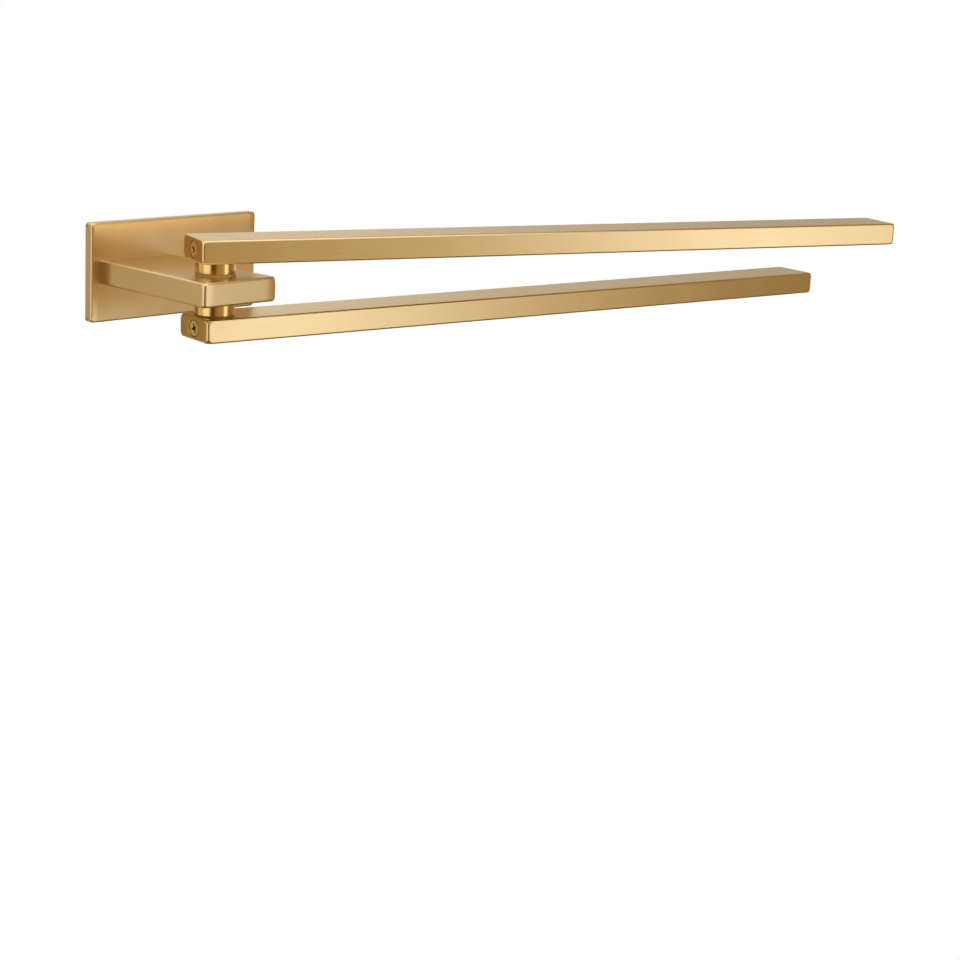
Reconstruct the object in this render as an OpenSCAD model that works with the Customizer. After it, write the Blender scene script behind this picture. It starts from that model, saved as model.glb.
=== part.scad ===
// Wall-mounted towel bar with two flat arms that swing about one upright pin.
// Origin: centre of the wall plate, on the wall. X runs along the wall, -Y out into the room, Z up.

/* [Wall plate] */
// Width of the plate along the wall
plate_w = 113; // [100:1:130]
// Height of the plate
plate_h = 54; // [50:1:70]
// Thickness of the plate, from the wall to its front face
plate_t = 5.5; // [5:0.25:8]
// Radius of the plate's front edges
plate_edge = 1; // [0.5:0.1:2]
// Radius of the plate's corners
plate_corner = 2; // [0.5:0.1:6]

/* [Post] */
// Width of the post along the wall
post_w = 48.5; // [44:0.5:60]
// Thickness of the post
post_h = 13; // [12:0.5:18]
// Distance from the plate's face to the pivot
pivot_out = 66.5; // [60:0.5:110]
// Length of the post beyond the pivot
post_nose = 21.5; // [15:0.5:30]
// Distance from the plate's centre to the post's centre
post_shift = 25.3; // [20:0.1:27]
// Radius of the post's long edges and of the level edges of its end
post_edge = 1.3; // [0.4:0.1:1.5]
// Radius of the upright edges of the post's end
post_corner = 1.8; // [0.5:0.1:4]

/* [Arms] */
// Width of an arm, lying flat
arm_w = 28.6; // [24:0.1:36]
// Height of an arm
arm_h = 12.7; // [12.5:0.1:18]
// Length of an arm, end to end
arm_len = 445; // [250:1:600]
// Length of an arm behind the pivot
arm_tail = 12.6; // [12.4:0.1:15]
// Radius of an arm's long edges and of the level edges of its ends
arm_edge = 1.2; // [0.4:0.1:1.2]
// Radius of the upright edges of an arm's ends
arm_corner = 1.4; // [0.5:0.1:3]
// Degrees that the upper arm points out from the wall's line
upper_arm_angle = 17.4; // [0:0.1:180]
// Degrees that the lower arm points out from the wall's line
lower_arm_angle = 7.5; // [0:0.1:180]

/* [Pivot] */
// Diameter of the pivot pin
pin_d = 12; // [10:0.5:12]
// Depth that the pin reaches into each arm
pin_reach = 9.5; // [9:0.1:10]
// Room between the pin's end and the bottom of an arm's bore
pin_end_gap = 0.5; // [0.3:0.1:0.8]
// Depth of the ring groove near each end of the pin
groove_depth = 1.6; // [1:0.1:2]
// Chamfer on the pin's ends
pin_chamfer = 0.6; // [0.2:0.1:0.8]
// Wall of the bush in each arm
bush_wall = 1; // [0.8:0.1:1.2]
// Diameter of the turned collars
collar_d = 21.4; // [18:0.1:24]
// Height of a collar
collar_h = 6; // [4:0.1:10]
// Chamfer on a collar's rims
collar_chamfer = 0.3; // [0.1:0.1:0.6]
// Thickness of the washer on top of the post
upper_washer_t = 1.3; // [0.8:0.1:2.5]
// Thickness of the washer under the post
lower_washer_t = 1.8; // [0.8:0.1:2.5]
// Thickness of the washer on the lower arm
arm_washer_t = 0.5; // [0.4:0.1:2]

/* [Screws] */
// Thread diameter of the screws in the arms' ends
end_screw_d = 4; // [3.5:0.5:5]
// Head diameter of the screws in the arms' ends
end_head_d = 8.4; // [8:0.1:8.8]
// Depth of those heads below the arms' ends
end_head_drop = 0.25; // [0.1:0.05:0.4]
// Degrees that the cross recess is turned
recess_turn = 20; // [0:1:90]
// Thread diameter of the set screw that holds the pin
pin_lock_d = 5; // [4:0.5:6]
// Length of the set screw that holds the pin
pin_lock_len = 8; // [5:0.5:16]
// Thread diameter of the set screws under the post
post_lock_d = 4; // [3:0.5:5]
// Length of the set screws under the post
post_lock_len = 4; // [3:0.1:4.5]
// Distance between the set screws under the post
post_lock_span = 22; // [16:1:24]
// Thread diameter of the screws that hold the tongue
tongue_screw_d = 4; // [3:0.5:5]
// Head diameter of the screws that hold the tongue
tongue_head_d = 7.5; // [6.5:0.1:8.5]
// Length of the screws that hold the tongue
tongue_screw_len = 10; // [8:0.5:12]
// Distance between the screws that hold the tongue
tongue_screw_span = 20; // [14:1:24]

/* [Wall bracket] */
// Width of the bracket
bracket_w = 100; // [90:1:105]
// Height of the bracket
bracket_h = 44; // [40:1:48]
// Thickness of the bracket
bracket_t = 3; // [2.5:0.1:3.2]
// Radius of the bracket's corners
bracket_corner = 3; // [1:0.5:5]
// Distance between the wall screws, across
wall_hole_span_x = 72; // [60:1:84]
// Distance between the wall screws, up and down
wall_hole_span_z = 29; // [24:0.5:32]
// Diameter of the wall screw holes
wall_hole_d = 5.2; // [4:0.1:6]
// Mouth diameter of the countersinks for the wall screws
wall_sink_d = 9.6; // [8:0.1:10.5]
// Width of the tongue inside the post
tongue_w = 34; // [30:0.5:38]
// Height of the tongue inside the post
tongue_h = 8; // [7:0.1:8.5]
// Length of the tongue, from the bracket
tongue_len = 20; // [16:0.5:30]
// Radius of the tongue's edges
tongue_edge = 0.8; // [0.3:0.1:1.5]

/* [Fits] */
// Room round the pin in each bush
running_gap = 0.05; // [0.02:0.01:0.1]
// Room between pieces that are fixed to each other
fixed_gap = 0.05; // [0.02:0.01:0.2]
// Room between an arm and the ring that it turns on
turn_gap = 0.1; // [0.05:0.01:0.3]
// Room round the tongue and the bracket where the cover pieces slide over them
slide_gap = 0.25; // [0.1:0.05:0.5]
// Room round the pin in the collars and washers
ring_gap = 0.15; // [0.1:0.05:0.3]
// Room between an end screw's point and the bottom of the pin's groove
point_gap = 0.2; // [0.1:0.05:0.4]

/* [Hidden] */

$fn = 64;
// Length that every cut runs past the face it opens
overrun = 1;

// Colours, as seen
satin_brass = [0.80, 0.63, 0.36];
polished_brass = [0.86, 0.66, 0.33];
washer_tan = [0.54, 0.43, 0.25];
bush_bronze = [0.60, 0.42, 0.24];
bright_steel = [0.72, 0.73, 0.75];
zinc_steel = [0.62, 0.63, 0.64];

// Pivot: its place, and the levels of the pieces stacked on it
pivot_x = -post_shift;
pivot_y = -plate_t - pivot_out;
upper_stack_h = upper_washer_t + collar_h + turn_gap;
lower_stack_h = lower_washer_t + collar_h + arm_washer_t + turn_gap;
upper_arm_z = post_h / 2 + upper_stack_h + arm_h / 2;
lower_arm_z = -post_h / 2 - lower_stack_h - arm_h / 2;

// Pin, bushes and rings
pin_r = pin_d / 2;
pin_top_z = upper_arm_z - arm_h / 2 + pin_reach;
pin_bottom_z = lower_arm_z + arm_h / 2 - pin_reach;
bush_bore_r = pin_r + running_gap;
bush_r = bush_bore_r + bush_wall;
arm_bore_r = bush_r + fixed_gap;
arm_bore_depth = pin_reach + pin_end_gap;
ring_bore_r = pin_r + ring_gap;
collar_r = collar_d / 2;
groove_r = pin_r - groove_depth;

// End screws: a point without thread stands in the pin's groove and keeps the arm on the pin
end_screw_r = end_screw_d / 2;
end_head_r = end_head_d / 2;
end_point_share = 0.64;
end_point_r = end_point_share * end_screw_r;
end_point_len = groove_depth + running_gap + bush_wall + fixed_gap;
end_screw_len = arm_tail - groove_r - point_gap;
// Height of the head's rim, and the mouth of the countersink round it
end_rim_h = 0.2;
end_sink_r = end_head_r + end_rim_h + end_head_drop + fixed_gap;
groove_h = 2 * (end_point_r + point_gap);
// Cross recess in the head
recess_reach_share = 0.55;
recess_arm_share = 0.15;
recess_depth_share = 0.8;
recess_taper_share = 0.7;

// Post and tongue
post_len = pivot_out + post_nose;
tongue_face_y = -bracket_t;
pocket_depth = tongue_len - (plate_t - bracket_t) + slide_gap;
pocket_end_y = -plate_t - pocket_depth;

// Set screws
set_socket_share = 0.55;
set_point_share = 0.6;
set_chamfer_share = 0.2;
pin_lock_r = pin_lock_d / 2;
pin_dimple_depth = 1;
pin_lock_tip_y = pivot_y + pin_r - pin_dimple_depth + fixed_gap;
post_lock_r = post_lock_d / 2;
post_lock_drop = 0.4;
post_lock_z = -post_h / 2 + post_lock_drop;
post_lock_y_share = 0.68;
post_lock_y = tongue_face_y - post_lock_y_share * tongue_len;

// Tongue screws
tongue_screw_r = tongue_screw_d / 2;
tongue_head_r = tongue_head_d / 2;
tongue_head_drop = 0.1;

// Rectangle with round corners, centred
module soft_rect(width, height, edge) {
    square([width - 2 * edge, height], center = true);
    square([width, height - 2 * edge], center = true);
    for (side_x = [-1, 1], side_y = [-1, 1])
        translate([side_x * (width / 2 - edge), side_y * (height / 2 - edge)])
            circle(r = edge);
}

// Bar with round edges from y = 0 to y = -length; its end at y = 0 is square where square_end is true
module soft_bar(width, height, length, long_edge, upright_edge, level_edge, square_end) {
    upright_past = square_end ? 2 * upright_edge : 0;
    level_past = square_end ? 2 * level_edge : 0;
    intersection() {
        rotate([90, 0, 0])
            linear_extrude(length) soft_rect(width, height, long_edge);
        translate([0, (upright_past - length) / 2, -height])
            linear_extrude(2 * height) soft_rect(width, length + upright_past, upright_edge);
        translate([-width, (level_past - length) / 2, 0])
            rotate([90, 0, 90])
                linear_extrude(2 * width) soft_rect(length + level_past, height, level_edge);
    }
}

// Points the children's Z axis along -Y, out from the wall
module outward() {
    rotate([90, 0, 0]) children();
}

// Stands the children on the pivot's axis
module at_pivot() {
    translate([pivot_x, pivot_y, 0]) children();
}

// Frame of an arm: X along the arm from the pivot, the bore's mouth facing -Z
module in_upper_arm() {
    at_pivot() translate([0, 0, upper_arm_z]) rotate([0, 0, -upper_arm_angle]) children();
}

module in_lower_arm() {
    at_pivot() translate([0, 0, lower_arm_z]) rotate([0, 0, -lower_arm_angle]) mirror([0, 0, 1]) children();
}

// Frame of the screw in an arm's near end: Z runs into the arm from its end face
module in_arm_end() {
    translate([-arm_tail, 0, 0]) rotate([0, 90, 0]) children();
}

// Ring that stands on z = 0
module ring(outer_r, bore_r, height, chamfer) {
    rotate_extrude()
        polygon([
            [bore_r, 0],
            [outer_r - chamfer, 0],
            [outer_r, chamfer],
            [outer_r, height - chamfer],
            [outer_r - chamfer, height],
            [bore_r, height]
        ]);
}

// Countersink and hole that run down from z = 0
module countersunk_hole(sink_r, hole_r, depth) {
    translate([0, 0, -overrun])
        cylinder(r = hole_r, h = depth + overrun);
    cylinder(r1 = sink_r, r2 = hole_r, h = sink_r - hole_r);
    translate([0, 0, -overrun])
        cylinder(r = sink_r, h = overrun);
}

// Set screw from z = 0 up to its point at z = length, with a six-sided socket below
module set_screw(thread_r, length) {
    point_h = set_chamfer_share * length;
    socket_h = set_socket_share * length;
    difference() {
        union() {
            cylinder(r = thread_r, h = length - point_h);
            translate([0, 0, length - point_h])
                cylinder(r = set_point_share * thread_r, h = point_h);
        }
        translate([0, 0, -overrun])
            cylinder(r = set_socket_share * thread_r, h = socket_h + overrun, $fn = 6);
    }
}

// Cross-shaped recess that runs down from z = 0 into a head, narrowing to its bottom
module cross_recess(head_r) {
    reach = recess_reach_share * head_r;
    depth = recess_depth_share * reach;
    intersection() {
        union() {
            for (turn = [0, 90])
                rotate([0, 0, turn])
                    cube([2 * reach, 2 * recess_arm_share * head_r, 2 * depth], center = true);
        }
        cylinder(r1 = reach, r2 = recess_taper_share * reach, h = depth);
    }
}

module wall_bracket() {
    color(zinc_steel)
    difference() {
        outward()
            linear_extrude(bracket_t) soft_rect(bracket_w, bracket_h, bracket_corner);
        for (side_x = [-1, 1], side_z = [-1, 1])
            translate([side_x * wall_hole_span_x / 2, -bracket_t, side_z * wall_hole_span_z / 2])
                rotate([-90, 0, 0])
                    countersunk_hole(wall_sink_d / 2, wall_hole_d / 2, bracket_t + overrun);
        at_tongue_screws()
            countersunk_hole(tongue_head_r + fixed_gap, tongue_screw_r + fixed_gap, bracket_t + overrun);
    }
}

// Places of the screws that hold the tongue, from the bracket's back
module at_tongue_screws() {
    for (side = [-1, 1])
        translate([pivot_x + side * tongue_screw_span / 2, 0, 0])
            outward() children();
}

module bracket_tongue() {
    color(zinc_steel)
    difference() {
        translate([pivot_x, tongue_face_y, 0])
            outward()
                linear_extrude(tongue_len) soft_rect(tongue_w, tongue_h, tongue_edge);
        at_tongue_screws()
            cylinder(r = tongue_screw_r + fixed_gap, h = tongue_head_drop + tongue_screw_len + fixed_gap);
        at_post_locks()
            translate([0, 0, post_lock_z])
                cylinder(r = post_lock_r + fixed_gap, h = post_lock_len + fixed_gap);
    }
}

module tongue_screws() {
    color(bright_steel)
    at_tongue_screws()
        translate([0, 0, tongue_head_drop])
            difference() {
                union() {
                    cylinder(r1 = tongue_head_r - tongue_head_drop, r2 = tongue_screw_r,
                             h = tongue_head_r - tongue_head_drop - tongue_screw_r);
                    cylinder(r = tongue_screw_r, h = tongue_screw_len);
                }
                cross_recess(tongue_head_r);
            }
}

module backplate() {
    color(satin_brass)
    difference() {
        soft_bar(plate_w, plate_h, plate_t, plate_corner, plate_edge, plate_edge, true);
        translate([0, overrun, 0])
            outward()
                linear_extrude(overrun + bracket_t + slide_gap)
                    soft_rect(bracket_w + 2 * slide_gap, bracket_h + 2 * slide_gap, bracket_corner + slide_gap);
        translate([pivot_x, 0, 0])
            outward()
                linear_extrude(plate_t + overrun) tongue_clearance();
    }
}

// Outline of the tongue with room to slide
module tongue_clearance() {
    soft_rect(tongue_w + 2 * slide_gap, tongue_h + 2 * slide_gap, tongue_edge + slide_gap);
}

module post() {
    color(satin_brass)
    difference() {
        translate([pivot_x, -plate_t, 0])
            soft_bar(post_w, post_h, post_len, post_edge, post_corner, post_edge, true);
        translate([pivot_x, overrun - plate_t, 0])
            outward()
                linear_extrude(pocket_depth + overrun) tongue_clearance();
        at_pivot()
            cylinder(r = pin_r + fixed_gap, h = post_h + 2 * overrun, center = true);
        translate([pivot_x, pocket_end_y + overrun, 0])
            outward()
                cylinder(r = pin_lock_r + fixed_gap, h = overrun + pocket_end_y - pivot_y);
        at_post_locks()
            translate([0, 0, -post_h / 2 - overrun])
                cylinder(r = post_lock_r + fixed_gap, h = post_h / 2 + overrun);
    }
}

// Places of the set screws under the post
module at_post_locks() {
    for (side = [-1, 1])
        translate([pivot_x + side * post_lock_span / 2, post_lock_y, 0])
            children();
}

module post_lock_screws() {
    color(bright_steel)
    at_post_locks()
        translate([0, 0, post_lock_z])
            set_screw(post_lock_r, post_lock_len);
}

module pivot_pin() {
    color(bright_steel)
    at_pivot()
        difference() {
            translate([0, 0, pin_bottom_z])
                plain_pin(pin_top_z - pin_bottom_z);
            for (level = [upper_arm_z, lower_arm_z])
                translate([0, 0, level - groove_h / 2])
                    ring(pin_r + overrun, groove_r, groove_h, 0);
            translate([0, pin_r + overrun, 0])
                outward()
                    cylinder(r = set_point_share * pin_lock_r + fixed_gap, h = overrun + pin_dimple_depth);
        }
}

// Plain pin with chamfered ends, from z = 0
module plain_pin(length) {
    rotate_extrude()
        polygon([
            [0, 0],
            [pin_r - pin_chamfer, 0],
            [pin_r, pin_chamfer],
            [pin_r, length - pin_chamfer],
            [pin_r - pin_chamfer, length],
            [0, length]
        ]);
}

module pin_lock_screw() {
    color(bright_steel)
    translate([pivot_x, pin_lock_tip_y + pin_lock_len, 0])
        outward() set_screw(pin_lock_r, pin_lock_len);
}

module upper_post_washer() {
    color(washer_tan)
    at_pivot() translate([0, 0, post_h / 2])
        ring(collar_r, ring_bore_r, upper_washer_t, 0);
}

module lower_post_washer() {
    color(washer_tan)
    at_pivot() translate([0, 0, -post_h / 2 - lower_washer_t])
        ring(collar_r, ring_bore_r, lower_washer_t, 0);
}

module upper_collar() {
    color(polished_brass)
    at_pivot() translate([0, 0, post_h / 2 + upper_washer_t])
        ring(collar_r, ring_bore_r, collar_h, collar_chamfer);
}

module lower_collar() {
    color(polished_brass)
    at_pivot() translate([0, 0, -post_h / 2 - lower_washer_t - collar_h])
        ring(collar_r, ring_bore_r, collar_h, collar_chamfer);
}

module lower_arm_washer() {
    color(washer_tan)
    at_pivot() translate([0, 0, -post_h / 2 - lower_washer_t - collar_h - arm_washer_t])
        ring(collar_r, ring_bore_r, arm_washer_t, 0);
}

// Arm in its own frame, bored for the bush and the end screw
module arm() {
    difference() {
        translate([-arm_tail, 0, 0])
            rotate([0, 0, 90])
                soft_bar(arm_w, arm_h, arm_len, arm_edge, arm_corner, arm_edge, false);
        translate([0, 0, -arm_h / 2 - overrun])
            cylinder(r = arm_bore_r, h = arm_bore_depth + overrun);
        in_arm_end()
            countersunk_hole(end_sink_r, end_screw_r + fixed_gap, arm_tail);
    }
}

// Bush in the arm's bore, with a side hole for the end screw
module arm_bush() {
    difference() {
        translate([0, 0, -arm_h / 2])
            ring(bush_r, bush_bore_r, pin_reach, 0);
        in_arm_end()
            cylinder(r = end_point_r + fixed_gap, h = arm_tail);
    }
}

// Countersunk screw in the arm's end; its point reaches into the pin's groove
module end_screw() {
    cone_h = end_head_r - end_screw_r;
    in_arm_end()
        difference() {
            union() {
                translate([0, 0, end_head_drop])
                    cylinder(r = end_head_r, h = end_rim_h);
                translate([0, 0, end_head_drop + end_rim_h])
                    cylinder(r1 = end_head_r, r2 = end_screw_r, h = cone_h);
                translate([0, 0, end_head_drop + end_rim_h])
                    cylinder(r = end_screw_r, h = end_screw_len - end_head_drop - end_rim_h - end_point_len);
                translate([0, 0, end_head_drop + end_rim_h])
                    cylinder(r = end_point_r, h = end_screw_len - end_head_drop - end_rim_h);
            }
            translate([0, 0, end_head_drop])
                rotate([0, 0, recess_turn])
                    cross_recess(end_head_r);
        }
}

module upper_arm() {
    color(satin_brass) in_upper_arm() arm();
}

module upper_arm_bush() {
    color(bush_bronze) in_upper_arm() arm_bush();
}

module upper_end_screw() {
    color(polished_brass) in_upper_arm() end_screw();
}

module lower_arm() {
    color(satin_brass) in_lower_arm() arm();
}

module lower_arm_bush() {
    color(bush_bronze) in_lower_arm() arm_bush();
}

module lower_end_screw() {
    color(polished_brass) in_lower_arm() end_screw();
}

wall_bracket();
bracket_tongue();
tongue_screws();
backplate();
post();
post_lock_screws();
pivot_pin();
pin_lock_screw();
upper_post_washer();
lower_post_washer();
upper_collar();
lower_collar();
lower_arm_washer();
upper_arm();
upper_arm_bush();
upper_end_screw();
lower_arm();
lower_arm_bush();
lower_end_screw();
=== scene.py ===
"""Looks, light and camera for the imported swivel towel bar: satin brass arms that swing on an upright pin."""

import logging
import math
from dataclasses import dataclass, field
from enum import Enum
from functools import cache
from typing import Any, ClassVar

import bmesh
import bpy
from bmesh.types import BMesh, BMVert
from bpy.types import Material, Mesh, Node, NodeSocket, NodeTree, Object
from mathutils import Matrix, Vector


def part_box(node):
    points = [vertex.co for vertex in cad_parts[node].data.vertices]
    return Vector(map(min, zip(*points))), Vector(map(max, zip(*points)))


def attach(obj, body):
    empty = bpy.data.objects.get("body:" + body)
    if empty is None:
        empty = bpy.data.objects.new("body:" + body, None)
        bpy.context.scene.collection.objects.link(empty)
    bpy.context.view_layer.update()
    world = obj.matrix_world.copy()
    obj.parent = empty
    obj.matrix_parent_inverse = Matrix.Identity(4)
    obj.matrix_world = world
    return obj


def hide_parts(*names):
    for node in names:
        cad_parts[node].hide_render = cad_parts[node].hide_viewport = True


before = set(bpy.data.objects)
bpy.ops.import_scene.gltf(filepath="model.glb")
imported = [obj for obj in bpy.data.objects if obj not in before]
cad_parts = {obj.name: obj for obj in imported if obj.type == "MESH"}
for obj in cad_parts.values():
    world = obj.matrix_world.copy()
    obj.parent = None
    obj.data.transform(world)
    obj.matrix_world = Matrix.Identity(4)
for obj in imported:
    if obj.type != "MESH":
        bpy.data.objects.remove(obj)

LOG = logging.getLogger("towel_bar")
MM = 0.001

# Sizes of the brushed pieces that stand still, for the wear at their ends
PLATE_WIDTH = 113 * MM
PLATE_HEIGHT = 54 * MM
POST_WIDTH = 48.5 * MM

# Pivot axis in the row frame, and the way each arm points at rest
PIVOT = Vector((-25.3 * MM, -72 * MM, 0))
UPPER_ARM_TURN = math.radians(-17.4)
LOWER_ARM_TURN = math.radians(-7.5)

# A cloudy noise keeps near the middle of 0 to 1, mostly between these
NOISE_LOW = 0.3
NOISE_HIGH = 0.7

# How close two vertices are one, how narrow a sliver is closed, and how close to a cut a vertex is on it
SAME_POINT = 0.001 * MM
SLIVER = 0.003 * MM
ON_CUT = 0.0001 * MM

# Edges that turn by more than this stay sharp
SHARP_EDGE = math.radians(35)


def linear(hex_colour: str) -> tuple[float, float, float, float]:
    """Turns an sRGB colour into the linear one that the nodes take, by the sRGB curve.

    Args:
        hex_colour: The colour, such as "#E2C084".

    Returns:
        Linear red, green, blue and alpha.
    """
    values = []
    for start in (1, 3, 5):
        share = int(hex_colour[start : start + 2], 16) / 255
        values.append(share / 12.92 if share <= 0.04045 else ((share + 0.055) / 1.055) ** 2.4)
    return values[0], values[1], values[2], 1.0


def add_node(tree: NodeTree, kind: str, inputs: dict[Any, Any] | None = None, **settings: Any) -> Node:
    """Adds one node to a tree.

    Args:
        tree: The tree that gets the node.
        kind: Blender's name of the node type.
        inputs: Values by input name or number. A socket is linked, a node is linked by its first output, and
            anything else is set.
        settings: The node's own properties.

    Returns:
        The new node.
    """
    node = tree.nodes.new(kind)
    for name, value in settings.items():
        setattr(node, name, value)
    for name, value in (inputs or {}).items():
        source = value.outputs[0] if isinstance(value, Node) else value
        if isinstance(source, NodeSocket):
            tree.links.new(source, node.inputs[name])
        else:
            node.inputs[name].default_value = source
    return node


def new_material(name: str) -> tuple[Material, NodeTree]:
    """Makes an empty node material.

    Args:
        name: The material's name.

    Returns:
        The material and its tree.
    """
    material = bpy.data.materials.new(name)
    material.use_nodes = True
    material.node_tree.nodes.clear()
    return material, material.node_tree


def finish_metal(tree: NodeTree, colour: Any, roughness: Any, bump: Node) -> None:
    """Ends the material of a bare metal.

    Args:
        tree: The material's tree.
        colour: Node or socket of the metal's colour.
        roughness: Node or socket of its roughness.
        bump: Bump node of its fine relief.
    """
    shader = add_node(
        tree,
        "ShaderNodeBsdfPrincipled",
        {"Base Color": colour, "Metallic": 1.0, "Roughness": roughness, "Normal": bump},
    )
    add_node(tree, "ShaderNodeOutputMaterial", {"Surface": shader})


def tinted(tree: NodeTree, colour: str, factor: Any, swing: float) -> NodeSocket:
    """Makes a colour that drifts a little.

    Args:
        tree: The material's tree.
        colour: The middle colour, in sRGB.
        factor: Node or socket that gives the darkest tint at 0 and the lightest at 1.
        swing: How far those two are from the middle one, as a share of it.

    Returns:
        The colour.
    """
    base = linear(colour)[:3]
    low = [channel * (1 - swing) for channel in base] + [1.0]
    high = [min(1.0, channel * (1 + swing)) for channel in base] + [1.0]
    mix = add_node(tree, "ShaderNodeMix", {"Factor": factor, "A": low, "B": high}, data_type="RGBA")
    return mix.outputs["Result"]


def spread(tree: NodeTree, noise: NodeSocket, low: float, high: float) -> Node:
    """Spreads the middle part of a noise over a range.

    Args:
        tree: The material's tree.
        noise: The noise. Where it is beyond its middle part, it gives an end of the range.
        low: Where the range starts.
        high: Where it ends.

    Returns:
        Node whose first output is the spread noise.
    """
    limits = {"From Min": NOISE_LOW, "From Max": NOISE_HIGH, "To Min": low, "To Max": high}
    return add_node(tree, "ShaderNodeMapRange", {"Value": noise, **limits})


def modified(data: Mesh, kind: str, inputs: dict[str, Any] | None = None, **settings: Any) -> Mesh:
    """Runs one modifier over a mesh.

    Args:
        data: The mesh, which is removed.
        kind: Blender's name of the modifier type.
        inputs: For a node tree, its inputs by the socket's identifier.
        settings: The modifier's own properties.

    Returns:
        The result as a plain mesh of the same name.
    """
    holder = bpy.data.objects.new("holder", data)
    bpy.context.scene.collection.objects.link(holder)
    modifier = holder.modifiers.new(kind, kind)
    for name, value in settings.items():
        setattr(modifier, name, value)
    for identifier, value in (inputs or {}).items():
        modifier[identifier] = value
    bpy.context.view_layer.update()
    evaluated = holder.evaluated_get(bpy.context.evaluated_depsgraph_get())
    mesh = bpy.data.meshes.new_from_object(evaluated)
    holder.modifiers.remove(modifier)
    bpy.data.objects.remove(holder)
    name = data.name
    bpy.data.meshes.remove(data)
    mesh.name = name
    return mesh


class Axis(Enum):
    """Axis that a grain or a turned surface follows."""

    X = 0
    Y = 1
    Z = 2


@dataclass(frozen=True)
class Place:
    """The piece's own coordinates, in which its brushing, wear and recesses are laid out.

    Attributes:
        middle: Where their origin is.
        turn: Angle about Z that turns them with the piece.
    """

    middle: tuple[float, float, float] = (0.0, 0.0, 0.0)
    turn: float = 0.0

    def coordinates(self, tree: NodeTree) -> Any:
        """Finds the shaded point in the piece's own coordinates.

        Args:
            tree: The material's tree.

        Returns:
            The outputs X, Y and Z.
        """
        point = add_node(tree, "ShaderNodeTexCoord").outputs["Object"]
        own = add_node(
            tree,
            "ShaderNodeMapping",
            {"Vector": point, "Location": self.middle, "Rotation": (0, 0, self.turn)},
            vector_type="TEXTURE",
        )
        return add_node(tree, "ShaderNodeSeparateXYZ", {0: own}).outputs

    def stretched(self, tree: NodeTree, axis: Axis, along: float, across: float) -> Node:
        """Stretches the coordinates for a texture of long or flat marks.

        Args:
            tree: The material's tree.
            axis: The piece's own axis that the marks lie along or across.
            along: Size of a mark along that axis.
            across: Its size along the other two.

        Returns:
            Node whose first output is the place in marks.
        """
        point = add_node(tree, "ShaderNodeTexCoord").outputs["Object"]
        size = [across] * 3
        size[axis.value] = along
        return add_node(
            tree,
            "ShaderNodeMapping",
            {"Vector": point, "Rotation": (0, 0, self.turn), "Scale": size},
            vector_type="TEXTURE",
        )


@dataclass(frozen=True)
class Eased:
    """Faces that the belt has worn down a little towards two opposite ends of a piece.

    Attributes:
        axis: The piece's own axis that the ends lie on.
        reach: Distance from the piece's middle to an end.
        length: How far in from an end the face starts to fall away.
        slope: Slope that it has at the very end.
    """

    axis: Axis
    reach: float
    length: float
    slope: float

    def height(self, tree: NodeTree, places: Any) -> Node:
        """Works out the height of the worn face, which is 0 in the middle.

        Args:
            tree: The material's tree.
            places: The piece's own coordinates.

        Returns:
            Node whose first output is the height.
        """
        inner = self.reach - self.length
        fall = -self.slope / (2 * self.length)
        from_middle = add_node(tree, "ShaderNodeMath", {0: places[self.axis.value]}, operation="ABSOLUTE")
        past = add_node(tree, "ShaderNodeMath", {0: from_middle, 1: inner}, operation="SUBTRACT")
        worn = add_node(tree, "ShaderNodeMath", {0: past, 1: 0.0}, operation="MAXIMUM")
        squared = add_node(tree, "ShaderNodeMath", {0: worn, 1: worn}, operation="MULTIPLY")
        return add_node(tree, "ShaderNodeMath", {0: squared, 1: fall}, operation="MULTIPLY")


@dataclass(frozen=True)
class RecessShade:
    """Round recess in the near end of a piece, which no brush or buff reaches; its colour is darkened there as
    painted shade.

    Attributes:
        radius: Radius of the recess, round the piece's own X axis.
        start: Depth below the piece's end at which it starts.
        bottom: Depth at which it surely ends.
        dark_share: Share of the colour that the painted shade leaves there.
    """

    radius: float
    start: float
    bottom: float = 12 * MM
    dark_share: float = 0.16

    def darkened(self, tree: NodeTree, places: Any, colour: Any) -> Node:
        """Darkens a colour in the recess, as painted shade.

        Args:
            tree: The material's tree.
            places: The piece's own coordinates.
            colour: Node or socket of the colour.

        Returns:
            Node whose first output is the colour.
        """
        # Painted shade: inside the recess the colour falls to dark_share of itself
        across = add_node(tree, "ShaderNodeCombineXYZ", {"Y": places["Y"], "Z": places["Z"]})
        away = add_node(tree, "ShaderNodeVectorMath", {0: across}, operation="LENGTH").outputs["Value"]
        inside = add_node(tree, "ShaderNodeMath", {0: away, 1: self.radius}, operation="LESS_THAN")
        below = add_node(tree, "ShaderNodeMath", {0: places["X"], 1: self.start}, operation="GREATER_THAN")
        above = add_node(tree, "ShaderNodeMath", {0: places["X"], 1: self.bottom}, operation="LESS_THAN")
        deep = add_node(tree, "ShaderNodeMath", {0: below, 1: above}, operation="MULTIPLY")
        recess = add_node(tree, "ShaderNodeMath", {0: inside, 1: deep}, operation="MULTIPLY")
        lost = self.dark_share - 1
        fall = add_node(tree, "ShaderNodeMath", {0: recess, 1: lost}, operation="MULTIPLY")
        left = add_node(tree, "ShaderNodeMath", {0: fall, 1: 1.0}, operation="ADD")
        return add_node(tree, "ShaderNodeVectorMath", {0: colour, "Scale": left}, operation="SCALE")


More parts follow.
